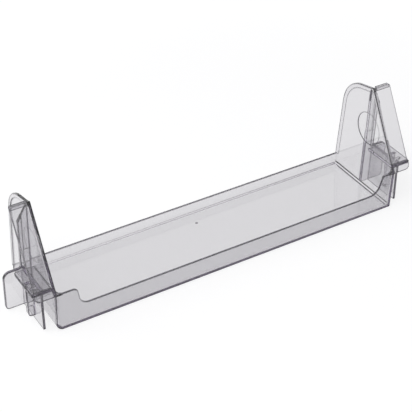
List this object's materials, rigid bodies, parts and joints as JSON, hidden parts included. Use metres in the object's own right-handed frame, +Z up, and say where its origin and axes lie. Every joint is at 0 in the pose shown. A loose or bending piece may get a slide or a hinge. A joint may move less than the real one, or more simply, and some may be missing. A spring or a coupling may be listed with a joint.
{
  "type": "fridge door shelf",
  "caption": "Clear moulded fridge door shelf: a long shallow tray between tall sloped end walls, with outer pockets that drop over lugs on the door liner.",
  "frame": {"origin": "under the middle of the bounding box, on the plane of the underside", "axes": "+X along the tray, to the right as seen by someone in front of the open door; +Y towards the door liner; +Z up"},
  "size_m": [0.4992, 0.1128, 0.1382],
  "materials": {
    "clear_plastic": "gloss"
  },
  "bodies": {
    "root": {"door_shelf": "clear_plastic"}
  },
  "joints": []
}
